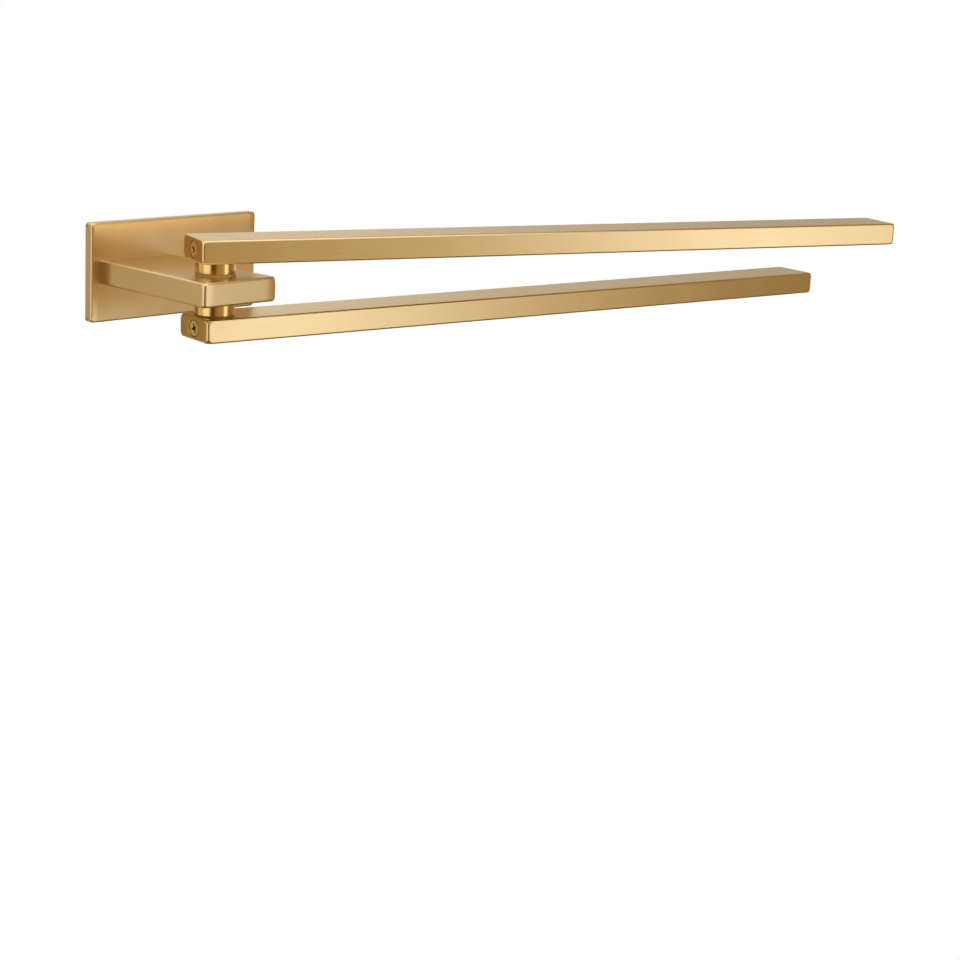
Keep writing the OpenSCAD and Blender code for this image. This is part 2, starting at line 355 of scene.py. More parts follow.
@dataclass(frozen=True)
class BrushedMetal:
    """Metal drawn over an abrasive belt: fine straight lines along the piece.

    Attributes:
        name: The material's own name.
        colour: sRGB colour of the bare metal.
        roughness: Middle roughness.
        along: Axis of the lines, in the piece's own coordinates.
        place: The piece's own coordinates.
        eased: Where the faces fall away towards the ends.
        recess: Where the colour is darkened as painted shade, in the drilled recess.
        line_length: Length of a brushed line.
        line_width: Width of a brushed line. Real ones are some 0.05 mm wide, too fine to show, so these are
            drawn coarser.
        depth: Depth of a brushed line.
        cloud: Size of the soft cloudy patches.
        cloud_share: Weight of the clouds against the lines in colour and roughness.
        wave: Height of the long waves that hand polishing leaves.
        colour_swing: How far the colour drifts, as a share of it.
        roughness_swing: How far the roughness drifts.
    """

    name: str
    colour: str
    roughness: float
    along: Axis
    place: Place = Place()
    eased: tuple[Eased, ...] = ()
    recess: RecessShade | None = None
    line_length: float = 45 * MM
    line_width: float = 0.25 * MM
    depth: float = 0.0006 * MM
    cloud: float = 30 * MM
    cloud_share: float = 0.6
    wave: float = 0.05 * MM
    colour_swing: float = 0.02
    roughness_swing: float = 0.03

    def build(self) -> Material:
        """Makes the material.

        Returns:
            The material.
        """
        material, tree = new_material(self.name)
        # The lines scatter light across the grain, which softens the reflections in one direction
        grain = self.place.stretched(tree, self.along, self.line_length, self.line_width)
        fine = {"Vector": grain, "Scale": 1.0, "Detail": 3.0}
        lines = add_node(tree, "ShaderNodeTexNoise", fine).outputs["Fac"]
        # Belt pressure is never even, so the sheen drifts a little over the face
        point = add_node(tree, "ShaderNodeTexCoord").outputs["Object"]
        patches = {"Vector": point, "Scale": 1 / self.cloud, "Detail": 2.0}
        clouds = add_node(tree, "ShaderNodeTexNoise", patches).outputs["Fac"]
        blend = {"Factor": self.cloud_share, "A": lines, "B": clouds}
        both = add_node(tree, "ShaderNodeMix", blend, data_type="FLOAT").outputs["Result"]

        places = self.place.coordinates(tree)
        colour = tinted(tree, self.colour, spread(tree, both, 0, 1), self.colour_swing)
        # Painted shade in the recess
        if self.recess:
            colour = self.recess.darkened(tree, places, colour)
        swing = self.roughness_swing
        roughness = spread(tree, both, self.roughness - swing, self.roughness + swing)
        height = self.height(tree, lines, clouds, places)
        bump = add_node(tree, "ShaderNodeBump", {"Height": height, "Distance": 1.0, "Strength": 1.0})
        finish_metal(tree, colour, roughness, bump)
        return material

    def height(self, tree: NodeTree, lines: Any, clouds: Any, places: Any) -> Node:
        """Adds up the surface's relief.

        Args:
            tree: The material's tree.
            lines: Noise of the brushed lines.
            clouds: Noise of the long waves.
            places: The piece's own coordinates.

        Returns:
            Node whose first output is the height.
        """
        grooves = add_node(tree, "ShaderNodeMath", {0: lines, 1: self.depth}, operation="MULTIPLY")
        waves = add_node(tree, "ShaderNodeMath", {0: clouds, 1: self.wave}, operation="MULTIPLY")
        height = add_node(tree, "ShaderNodeMath", {0: grooves, 1: waves}, operation="ADD")
        for part in self.eased:
            worn = part.height(tree, places)
            height = add_node(tree, "ShaderNodeMath", {0: height, 1: worn}, operation="ADD")
        return height


@dataclass(frozen=True)
class TurnedMetal:
    """Metal turned on a lathe: fine rings round the piece's axis.

    Attributes:
        name: The material's own name.
        colour: sRGB colour of the bare metal.
        roughness: Middle roughness.
        axis: Axis of the turned piece, in its own coordinates.
        place: The piece's own coordinates.
        recess: Where the colour is darkened as painted shade, in the pressed recess.
        ring: Width of a tool mark. Real ones are some 0.05 mm wide, too fine to show, so these are drawn
            coarser.
        mark_length: Length of a tool mark before it changes.
        depth: Depth of a tool mark.
        colour_swing: How far the colour drifts, as a share of it.
        smoother: How much less the roughness is in the smoothest marks.
        rougher: How much more it is in the roughest.
    """

    name: str
    colour: str
    roughness: float
    axis: Axis
    place: Place = Place()
    recess: RecessShade | None = None
    ring: float = 0.15 * MM
    mark_length: float = 3 * MM
    depth: float = 0.0015 * MM
    colour_swing: float = 0.03
    smoother: float = 0.02
    rougher: float = 0.03

    def build(self) -> Material:
        """Makes the material.

        Returns:
            The material.
        """
        material, tree = new_material(self.name)
        # Tool marks run round the axis and break up the bright bands a little
        rings = self.place.stretched(tree, self.axis, self.ring, self.mark_length)
        fine = {"Vector": rings, "Scale": 1.0, "Detail": 2.0}
        marks = add_node(tree, "ShaderNodeTexNoise", fine).outputs["Fac"]
        bump = add_node(tree, "ShaderNodeBump", {"Height": marks, "Distance": self.depth, "Strength": 1.0})
        colour = tinted(tree, self.colour, spread(tree, marks, 0, 1), self.colour_swing)
        # Painted shade in the recess
        if self.recess:
            colour = self.recess.darkened(tree, self.place.coordinates(tree), colour)
        roughness = spread(tree, marks, self.roughness - self.smoother, self.roughness + self.rougher)
        finish_metal(tree, colour, roughness, bump)
        return material


@dataclass(frozen=True)
class SpottedMetal:
    """Plated or sintered metal: small cells that differ a little in sheen.

    Attributes:
        name: The material's own name.
        colour: sRGB colour of the metal.
        roughness: Middle roughness.
        cell: Size of a cell.
        colour_swing: How far the cells differ in colour, as a share of it.
        roughness_swing: How far they differ in roughness.
        depth_share: Height of a cell against its size.
    """

    name: str
    colour: str
    roughness: float
    cell: float
    colour_swing: float
    roughness_swing: float = 0.04
    depth_share: float = 0.005

    def build(self) -> Material:
        """Makes the material.

        Returns:
            The material.
        """
        material, tree = new_material(self.name)
        point = add_node(tree, "ShaderNodeTexCoord").outputs["Object"]
        # Each cell catches the light a little differently, so an even face looks faintly mottled
        cells = add_node(tree, "ShaderNodeTexVoronoi", {"Vector": point, "Scale": 1 / self.cell})
        level = add_node(tree, "ShaderNodeSeparateColor", {"Color": cells.outputs["Color"]}).outputs["Red"]
        depth = self.depth_share * self.cell
        relief = {"Height": cells.outputs["Distance"], "Distance": depth, "Strength": 1.0}
        bump = add_node(tree, "ShaderNodeBump", relief)
        colour = tinted(tree, self.colour, level, self.colour_swing)
        swing = self.roughness_swing
        roughness = spread(tree, level, self.roughness - swing, self.roughness + swing)
        finish_metal(tree, colour, roughness, bump)
        return material


@dataclass(frozen=True)
class Nylon:
    """Moulded nylon: dull, slightly waxy, with faint flow marks.

    Attributes:
        name: The material's own name.
        colour: sRGB colour of the plastic.
        flow: Size of a flow mark.
        smoothest: Roughness of the smoothest marks.
        roughest: Roughness of the roughest.
        colour_swing: How far the colour drifts, as a share of it.
        glow_share: Share of the light that goes into the plastic and comes out again.
        glow_depth: How far that light goes in.
    """

    name: str
    colour: str
    flow: float = 1.5 * MM
    smoothest: float = 0.42
    roughest: float = 0.55
    colour_swing: float = 0.08
    glow_share: float = 0.1
    glow_depth: float = 0.5 * MM

    def build(self) -> Material:
        """Makes the material.

        Returns:
            The material.
        """
        material, tree = new_material(self.name)
        point = add_node(tree, "ShaderNodeTexCoord").outputs["Object"]
        # Flow marks from the mould show as a slight change of sheen
        flow = {"Vector": point, "Scale": 1 / self.flow, "Detail": 3.0}
        marks = add_node(tree, "ShaderNodeTexNoise", flow).outputs["Fac"]
        shader = add_node(
            tree,
            "ShaderNodeBsdfPrincipled",
            {
                "Base Color": tinted(tree, self.colour, spread(tree, marks, 0, 1), self.colour_swing),
                "Roughness": spread(tree, marks, self.smoothest, self.roughest),
                "Subsurface Weight": self.glow_share,
                "Subsurface Scale": self.glow_depth,
            },
        )
        add_node(tree, "ShaderNodeOutputMaterial", {"Surface": shader})
        return material


BRASS = "#E4C590"
SCREW_BRASS = "#F0D090"
STEEL = "#CFD1D5"

# How far in from their ends the belt wears plate and arms and the post, and the slopes at the ends
EASE = 5 * MM
POST_EASE = 7.5 * MM
EASE_SLOPE = 0.12
SLIGHT_EASE_SLOPE = 0.06

# Belt-brushed brass gives broad, soft tones with no sharp image in them. The plate is the dullest
PLATE_BRASS = BrushedMetal(
    "Satin brass, belt-brushed plate",
    BRASS,
    roughness=0.33,
    along=Axis.X,
    eased=(
        Eased(Axis.X, PLATE_WIDTH / 2, EASE, EASE_SLOPE),
        Eased(Axis.Z, PLATE_HEIGHT / 2, EASE, SLIGHT_EASE_SLOPE),
    ),
    wave=0.3 * MM,
)
POST_BRASS = BrushedMetal(
    "Satin brass, belt-brushed post",
    BRASS,
    roughness=0.3,
    along=Axis.Y,
    place=Place((PIVOT.x, 0.0, 0.0)),
    eased=(Eased(Axis.X, POST_WIDTH / 2, POST_EASE, EASE_SLOPE),),
)

# Polished turned brass mirrors the studio in upright bands, bright beside dark
COLLAR_BRASS = TurnedMetal("Turned brass, polished collars", "#E3BC75", roughness=0.13, axis=Axis.Z)

# Bright turned steel is pale and nearly mirrors; the screws are a little duller than the pin
PIN_STEEL = TurnedMetal("Bright turned steel pin", "#DADCE0", roughness=0.18, axis=Axis.Z)
POST_LOCK_STEEL = TurnedMetal(
    "Bright turned steel, screws under the post", STEEL, roughness=0.22, axis=Axis.Z
)
LOCK_STEEL = TurnedMetal(
    "Bright turned steel, screws along the post", STEEL, roughness=0.22, axis=Axis.Y
)

# Zinc plate is a soft blue-grey with faint cells
BRACKET_ZINC = SpottedMetal("Zinc-plated steel", "#C4C9CE", roughness=0.34, cell=2.2 * MM, colour_swing=0.06)

# Sintered bronze is grainy and brown. Its real grains are some 0.1 mm, too fine to show, so these are drawn
# coarser
BUSH_BRONZE = SpottedMetal(
    "Sintered bronze bush", "#C79E66", roughness=0.38, cell=0.25 * MM, colour_swing=0.12
)

# Nylon is dull and soft beside the metal
WASHER_NYLON = Nylon("Moulded nylon washer, tan", "#A0824A")

Finish = BrushedMetal | TurnedMetal | SpottedMetal | Nylon

# Points in each turn of a thread, and corners of its ridge
TURN_POINTS = 40
RIDGE_CORNERS = 3


@cache
def material_of(finish: Finish) -> Material:
    """Builds the material of a finish, once for all the pieces that wear it."""
    return finish.build()


@cache
def thread_tree() -> NodeTree:
    """Builds the node tree of a row of equal screw threads, once for all the screws.

    One triangular ridge follows a helix from z = 0 upwards. It is repeated along X, so a pair of screws is
    one row.

    Returns:
        The tree, with the inputs Crest Radius, Pitch, Length, Count, Spacing and Material.
    """
    tree = bpy.data.node_groups.new("Screw threads", "GeometryNodeTree")
    for name, kind in (
        ("Crest Radius", "NodeSocketFloat"),
        ("Pitch", "NodeSocketFloat"),
        ("Length", "NodeSocketFloat"),
        ("Count", "NodeSocketInt"),
        ("Spacing", "NodeSocketFloat"),
        ("Material", "NodeSocketMaterial"),
    ):
        tree.interface.new_socket(name, in_out="INPUT", socket_type=kind)
    tree.interface.new_socket("Geometry", in_out="OUTPUT", socket_type="NodeSocketGeometry")
    given = add_node(tree, "NodeGroupInput").outputs
    crest = given["Crest Radius"]
    pitch = given["Pitch"]
    half_pitch = add_node(tree, "ShaderNodeMath", {0: pitch, 1: 0.5}, operation="MULTIPLY")
    radius = add_node(tree, "ShaderNodeMath", {0: crest, 1: half_pitch}, operation="SUBTRACT")
    height = add_node(tree, "ShaderNodeMath", {0: given["Length"], 1: pitch}, operation="SUBTRACT")
    turns = add_node(tree, "ShaderNodeMath", {0: height, 1: pitch}, operation="DIVIDE")
    helix = add_node(
        tree,
        "GeometryNodeCurveSpiral",
        {
            "Resolution": TURN_POINTS,
            "Rotations": turns,
            "Start Radius": radius,
            "End Radius": radius,
            "Height": height,
            "Reverse": True,
        },
    )
    upright = add_node(tree, "GeometryNodeSetCurveNormal", {"Curve": helix}, mode="Z_UP")
    triangle = {"Resolution": RIDGE_CORNERS, "Radius": half_pitch}
    outline = add_node(tree, "GeometryNodeCurvePrimitiveCircle", triangle)
    profile = {"Curve": upright, "Profile Curve": outline, "Fill Caps": True}
    ridge = add_node(tree, "GeometryNodeCurveToMesh", profile)
    lift = add_node(tree, "ShaderNodeCombineXYZ", {"Z": half_pitch})
    lifted = add_node(tree, "GeometryNodeTransform", {"Geometry": ridge, "Translation": lift})
    step = add_node(tree, "ShaderNodeCombineXYZ", {"X": given["Spacing"]})
    row = add_node(tree, "GeometryNodeMeshLine", {"Count": given["Count"], "Offset": step})
    threads = add_node(tree, "GeometryNodeInstanceOnPoints", {"Points": row, "Instance": lifted})
    solid = add_node(tree, "GeometryNodeRealizeInstances", {0: threads})
    dressed = add_node(tree, "GeometryNodeSetMaterial", {"Geometry": solid, "Material": given["Material"]})
    add_node(tree, "NodeGroupOutput", {"Geometry": dressed})
    return tree


@dataclass(frozen=True)
class Thread:
    """Coarse metric thread on one screw or on a row of equal screws.

    Attributes:
        crest_radius: Radius at the crests, which is the CAD screw's.
        pitch: Distance from crest to crest.
        length: Threaded length.
        place: Frame of the first screw: Z up the screw from where the thread starts, X along the row.
        count: Screws in the row.
        spacing: Distance between the screws.
        depth_share: Depth of the thread against its pitch, as metric threads have it.
        skin: How close to the crest radius a vertex of the plain shank is.
    """

    crest_radius: float
    pitch: float
    length: float
    place: Matrix
    count: int = 1
    spacing: float = 0.0
    depth_share: float = 0.6134
    skin: float = 0.02 * MM

    @property
    def root_radius(self) -> float:
        """Radius at the bottom of the thread."""
        return self.crest_radius - self.depth_share * self.pitch

    def ridges(self, material: Material) -> Mesh:
        """Evaluates the thread's node tree.

        Args:
            material: The screw's material.

        Returns:
            The ridges as a plain mesh, in place in the row frame.
        """
        values = {
            "Crest Radius": self.crest_radius,
            "Pitch": self.pitch,
            "Length": self.length,
            "Count": self.count,
            "Spacing": self.spacing,
            "Material": material,
        }
        tree = thread_tree()
        given = [item for item in tree.interface.items_tree if item.in_out == "INPUT"]
        inputs = {item.identifier: values[item.name] for item in given}
        mesh = modified(bpy.data.meshes.new("thread"), "NODES", inputs, node_group=tree)
        mesh.transform(self.place)
        return mesh

    def cut_down(self, mesh: BMesh) -> None:
        """Brings the shank's plain cylinder down to the root of the thread.

        Args:
            mesh: The screw's mesh in the row frame.
        """
        into_place = self.place.inverted()
        for vertex in mesh.verts:
            local = into_place @ vertex.co
            step = min(range(self.count), key=lambda i: abs(local.x - i * self.spacing))
            middle = Vector((step * self.spacing, 0, local.z))
            outward = local - middle
            if abs(outward.length - self.crest_radius) < self.skin:
                vertex.co = self.place @ (middle + outward.normalized() * self.root_radius)


@dataclass(frozen=True)
class SoftCorners:
    """Corners of a flat bar that the buffing wheel has rounded more than its long edges.

    Attributes:
        low: The bar's lowest corner, in its own coordinates.
        high: Its highest corner.
        place: Frame of those coordinates in the row frame.
        ends: For each axis, the ends that are rounded: -1 the low one, 1 the high one.
        reach: Distance from a face at which the rounding starts.
        pull: How far a square corner would be pulled in along each axis.
        far_share: Share of that pull at the high end of X, which the wheel meets more squarely.
        falloff: Power by which the rounding fades away from a corner.
        cells: Cells that the reach is divided into.
    """

    low: Vector
    high: Vector
    place: Matrix
    ends: tuple[tuple[int, ...], ...] = ((-1, 1), (-1, 1), (-1, 1))
    reach: float = 4 * MM
    pull: float = 1.7 * MM
    far_share: float = 0.4
    falloff: int = 3
    cells: int = 14

    def shape(self, mesh: BMesh) -> None:
        """Divides a mesh near the corners and rounds them.

        Args:
            mesh: The bar's mesh in the row frame.
        """
        mesh.transform(self.place.inverted())
        for axis, ends in enumerate(self.ends):
            for end in ends:
                self.divide(mesh, axis, end)
        bmesh.ops.remove_doubles(mesh, verts=mesh.verts, dist=SLIVER)
        for vertex in mesh.verts:
            vertex.co = self.pulled(vertex.co)
        mesh.transform(self.place)

    def divide(self, mesh: BMesh, axis: int, end: int) -> None:
        """Cuts a mesh into cells along one axis, near one end.

        Args:
            mesh: The bar's mesh in its own coordinates.
            axis: Number of the axis.
            end: -1 for its low end, 1 for its high one.
        """
        across = Vector((0, 0, 0))
        across[axis] = 1
        for step in range(1, self.cells + 1):
            inward = self.reach * step / self.cells
            bmesh.ops.bisect_plane(
                mesh,
                geom=mesh.verts[:] + mesh.edges[:] + mesh.faces[:],
                dist=ON_CUT,
                plane_co=self.low + across * inward if end < 0 else self.high - across * inward,
                plane_no=across,
            )

    def pulled(self, point: Vector) -> Vector:
        """Finds where a point of the square bar lies on the rounded one.

        Args:
            point: The point, in the bar's own coordinates.

        Returns:
            Its new place.
        """
        share = 1.0
        inward = Vector((0, 0, 0))
        for axis, ends in enumerate(self.ends):
            nearness = 0.0
            for end in ends:
                away = self.high[axis] - point[axis] if end > 0 else point[axis] - self.low[axis]
                if away < self.reach:
                    nearness = 1 - away / self.reach
                    inward[axis] = -end
            share *= nearness**self.falloff
        if inward.x < 0:
            share *= self.far_share
        return point + inward * share * self.pull


@dataclass
class Assembly:
    """Pieces that ride on one CAD body.

    Attributes:
        body: The CAD body.
        dressed: Finish of each CAD node that is shown as packed.
    """

    body: str
    dressed: dict[str, Finish] = field(default_factory=dict)

    def dress(self) -> None:
        """Gives each CAD node its material."""
        for node, finish in self.dressed.items():
            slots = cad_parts[node].data.materials
            slots.clear()
            slots.append(material_of(finish))
            LOG.info("%s: %s in %s", self.body, node, finish.name)

    def threaded_screw(self, node: str, thread: Thread, finish: Finish, slot: str) -> None:
        """Shows a CAD screw with a cut thread.

        Args:
            node: CAD node that the piece stands for.
            thread: The thread, in place.
            finish: The screw's finish.
            slot: The record's material slot; not used.
        """
        material = material_of(finish)
        mesh = self.merged_copy(node)
        thread.cut_down(mesh)
        ridges = thread.ridges(material)
        mesh.from_mesh(ridges)
        bpy.data.meshes.remove(ridges)
        name = f"{node}_threaded"
        self.show_instead(name, mesh, node, material)
        LOG.info("%s: %s with %d thread(s) in %s", self.body, name, thread.count, finish.name)

    def softened_bar(self, node: str, corners: SoftCorners, finish: Finish, slot: str) -> None:
        """Shows a CAD bar with its corners rounded as buffing leaves them.

        Args:
            node: CAD node that the piece stands for.
            corners: The bar's corners.
            finish: The bar's finish.
            slot: The record's material slot; not used.
        """
        mesh = self.merged_copy(node)
        corners.shape(mesh)
        name = f"{node}_buffed"
        self.show_instead(name, mesh, node, material_of(finish))
        LOG.info("%s: %s in %s", self.body, name, finish.name)

    def merged_copy(self, node: str) -> BMesh:
        """Copies a CAD node's mesh and joins its loose triangles.

        Args:
            node: The CAD node.

        Returns:
            The copy.
        """
        mesh = bmesh.new()
        mesh.from_mesh(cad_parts[node].data)
        bmesh.ops.remove_doubles(mesh, verts=mesh.verts, dist=SAME_POINT)
        return mesh

    def show_instead(self, name: str, mesh: BMesh, node: str, material: Material) -> None:
        """Shows a mesh in the place of a CAD node.

        Args:
            name: The piece's name.
            mesh: Its mesh in the row frame, which is freed.
            node: CAD node that it stands for.
            material: Its material.
        """
        bmesh.ops.recalc_face_normals(mesh, faces=mesh.faces)
        data = bpy.data.meshes.new(name)
        mesh.to_mesh(data)
        mesh.free()
        data.materials.clear()
        data.materials.append(material)
        data.polygons.foreach_set("material_index", [0] * len(data.polygons))
        data.polygons.foreach_set("use_smooth", [True] * len(data.polygons))
        data.set_sharp_from_angle(angle=SHARP_EDGE)
        # Normals that follow the larger faces make the flats shade as flat
        piece = bpy.data.objects.new(name, modified(data, "WEIGHTED_NORMAL", keep_sharp=True))
        bpy.context.scene.collection.objects.link(piece)
        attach(piece, self.body)
        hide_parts(node)


@dataclass
class WallSide(Assembly):
    """Everything that stands still: plate, post, bracket, pin, and the rings between post and arms.

    Attributes:
        m4_radius: Radius of an M4 thread's crests.
        m4_pitch: Pitch of an M4 thread.
        m5_radius: Radius of an M5 thread's crests.
        m5_pitch: Pitch of an M5 thread.
        set_point_share: Share of a set screw's length that is its plain point.
        outer_ends: For each axis, the ends of plate and post that buffing rounds: all but the wall's.
        plate_reach: Distance from the plate's faces at which its soft corners start.
        plate_pull: How far they are pulled in.
        post_reach: Distance from the post's faces at which its soft corners start.
        post_pull: How far they are pulled in.
    """

    body: str = "wall_side"
    dressed: dict[str, Finish] = field(
        default_factory=lambda: {
            "wall_bracket": BRACKET_ZINC,
            "bracket_tongue": BRACKET_ZINC,
            "pivot_pin": PIN_STEEL,
            "upper_post_washer": WASHER_NYLON,
            "lower_post_washer": WASHER_NYLON,
            "lower_arm_washer": WASHER_NYLON,
            "upper_collar": COLLAR_BRASS,
            "lower_collar": COLLAR_BRASS,
        }
    )
    m4_radius: float = 2 * MM
    m4_pitch: float = 0.7 * MM
    m5_radius: float = 2.5 * MM
    m5_pitch: float = 0.8 * MM
    set_point_share: float = 0.2
    outer_ends: tuple[tuple[int, ...], ...] = ((-1, 1), (-1,), (-1, 1))
    plate_reach: float = 3 * MM
    plate_pull: float = 0.9 * MM
    post_reach: float = 3.5 * MM
    post_pull: float = 1.6 * MM

    def build(self) -> None:
        """Dresses the nodes, softens the outer corners of plate and post and threads the hidden screws."""
        self.dress()
        for node, reach, pull, finish in (
            ("backplate", self.plate_reach, self.plate_pull, PLATE_BRASS),
            ("post", self.post_reach, self.post_pull, POST_BRASS),
        ):
            low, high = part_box(node)
            still = Matrix.Identity(4)
            corners = SoftCorners(low, high, still, self.outer_ends, reach, pull, far_share=1.0)
            self.softened_bar(node, corners, finish, "satin_brass")
        for node, thread, finish in (
            ("tongue_screws", self.tongue_thread(), LOCK_STEEL),
            ("pin_lock_screw", self.pin_lock_thread(), LOCK_STEEL),
            ("post_lock_screws", self.post_lock_thread(), POST_LOCK_STEEL),
        ):
            self.threaded_screw(node, thread, finish, "bright_steel")

    def tongue_thread(self) -> Thread:
        """Works out the thread of the two screws that hold the tongue; they point out from the wall.

        Returns:
            The thread.
        """
        low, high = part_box("tongue_screws")
        head_radius = (high.z - low.z) / 2
        start = high.y - (head_radius - self.m4_radius)
        spacing = (high.x - low.x) - 2 * head_radius
        place = Matrix.Translation((low.x + head_radius, start, 0)) @ Matrix.Rotation(math.pi / 2, 4, "X")
        return Thread(self.m4_radius, self.m4_pitch, start - low.y, place, count=2, spacing=spacing)

    def pin_lock_thread(self) -> Thread:
        """Works out the thread of the screw that locks the pin; it points out from the wall.

        Returns:
            The thread.
        """
        low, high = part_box("pin_lock_screw")
        length = (1 - self.set_point_share) * (high.y - low.y)
        place = Matrix.Translation((PIVOT.x, high.y, 0)) @ Matrix.Rotation(math.pi / 2, 4, "X")
        return Thread(self.m5_radius, self.m5_pitch, length, place)

    def post_lock_thread(self) -> Thread:
        """Works out the thread of the two screws under the post; they point up.

        Returns:
            The thread.
        """
        low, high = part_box("post_lock_screws")
        length = (1 - self.set_point_share) * (high.z - low.z)
        spacing = (high.x - low.x) - 2 * self.m4_radius
        place = Matrix.Translation((low.x + self.m4_radius, (low.y + high.y) / 2, low.z))
        return Thread(self.m4_radius, self.m4_pitch, length, place, count=2, spacing=spacing)


@dataclass
class SwingArm(Assembly):
    """One flat arm with its bush and its end screw.

    Attributes:
        prefix: "upper" or "lower".
        turn: The arm's angle about Z.
        length: Length of the arm.
        tail: Length of the arm behind the pivot.
        width: The arm's width.
        sink_radius: Radius of the countersink's mouth in the arm's near end.
        skin: How far below that end the painted shade of the countersink starts.
        head_drop: Depth of the screw's head below that end.
        head_skin: How far below the face of the head the painted shade of the recess starts.
        thread_radius: Radius of the end screw's thread.
        thread_pitch: Pitch of that thread.
        thread_start: Where the thread starts, from the arm's near end.
        thread_length: Length of the thread.
    """

    prefix: str = ""
    turn: float = 0.0
    length: float = 445 * MM
    tail: float = 12.6 * MM
    width: float = 28.6 * MM
    sink_radius: float = 4.7 * MM
    skin: float = 0.02 * MM
    head_drop: float = 0.25 * MM
    head_skin: float = 0.03 * MM
    thread_radius: float = 2 * MM
    thread_pitch: float = 0.7 * MM
    thread_start: float = 2.65 * MM
    thread_length: float = 2.65 * MM

    def build(self) -> None:
        """Softens the arm's corners, dresses its bush and threads its end screw."""
        self.dressed = {f"{self.prefix}_arm_bush": BUSH_BRONZE}
        self.dress()
        self.softened_bar(f"{self.prefix}_arm", self.corners(), self.arm_brass(), "satin_brass")
        screw = f"{self.prefix}_end_screw"
        self.threaded_screw(screw, self.end_thread(), self.screw_brass(), "polished_brass")

    def place(self) -> Place:
        """Finds the arm's own coordinates: X along it from the middle of its near end.

        Returns:
            The coordinates.
        """
        low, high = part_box(f"{self.prefix}_arm")
        end = PIVOT - self.tail * Vector((math.cos(self.turn), math.sin(self.turn), 0))
        return Place((end.x, end.y, (low.z + high.z) / 2), self.turn)

    def own_frame(self) -> Matrix:
        """Frame of the arm's own coordinates."""
        return Matrix.Translation(self.place().middle) @ Matrix.Rotation(self.turn, 4, "Z")

    def corners(self) -> SoftCorners:
        """Finds the arm's eight corners.

        Returns:
            The corners.
        """
        low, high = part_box(f"{self.prefix}_arm")
        half = Vector((0, self.width / 2, (high.z - low.z) / 2))
        return SoftCorners(-half, half + Vector((self.length, 0, 0)), self.own_frame())

    def arm_brass(self) -> BrushedMetal:
        """Brass brushed along the arm, worn down a little at its sides, with painted shade in the countersink.
        """
        return BrushedMetal(
            f"Satin brass, belt-brushed {self.prefix} arm",
            BRASS,
            roughness=0.25,
            along=Axis.X,
            place=self.place(),
            eased=(Eased(Axis.Y, self.width / 2, EASE, SLIGHT_EASE_SLOPE),),
            # The countersink gets painted shade
            recess=RecessShade(self.sink_radius, self.skin),
        )

    def screw_brass(self) -> TurnedMetal:
        """Turned brass of the end screw, duller than the collars, with painted shade below the face of its
        head.
        """
        return TurnedMetal(
            f"Turned brass, {self.prefix} end screw",
            SCREW_BRASS,
            roughness=0.42,
            axis=Axis.X,
            place=self.place(),
            # The cross recess and the shank below the head get painted shade
            recess=RecessShade(self.sink_radius, self.head_drop + self.head_skin),
        )

    def end_thread(self) -> Thread:
        """Works out the thread of the end screw; it points along the arm from its near end.

        Returns:
            The thread.
        """
        start = Matrix.Translation((self.thread_start, 0, 0))
        place = self.own_frame() @ start @ Matrix.Rotation(math.pi / 2, 4, "Y")
        return Thread(self.thread_radius, self.thread_pitch, self.thread_length, place)


# Brightness above which a tint changes no more
TINT_LIMIT = 1.15


class Tone(Enum):
    """Tint of a part of the tent.

    A value holds the shares of green and blue, and the powers of the brightness by which they fall where it
    is darker.
    """

    # Browner where it is darker, which deepens the brass that reflects it
    WARM = (1.0, 1.0, 0.3, 1.12)
    # The same pale cream at every brightness, which greys the brass a little
    CREAM = (0.94, 0.81, 0.0, 0.0)
    # A little blue, as near a window
    COOL = (1.12, 1.4, 0.0, 0.0)

    def colour(self, level: float) -> tuple[float, float, float, float]:
        """Works out the colour of the tent at a brightness.

        Args:
            level: The brightness, where 1 is white.

        Returns:
            Linear red, green, blue and alpha.
        """
        green, blue, green_power, blue_power = self.value
        dark = min(level, TINT_LIMIT)
        return level, level * green * dark**green_power, level * blue * dark**blue_power, 1.0


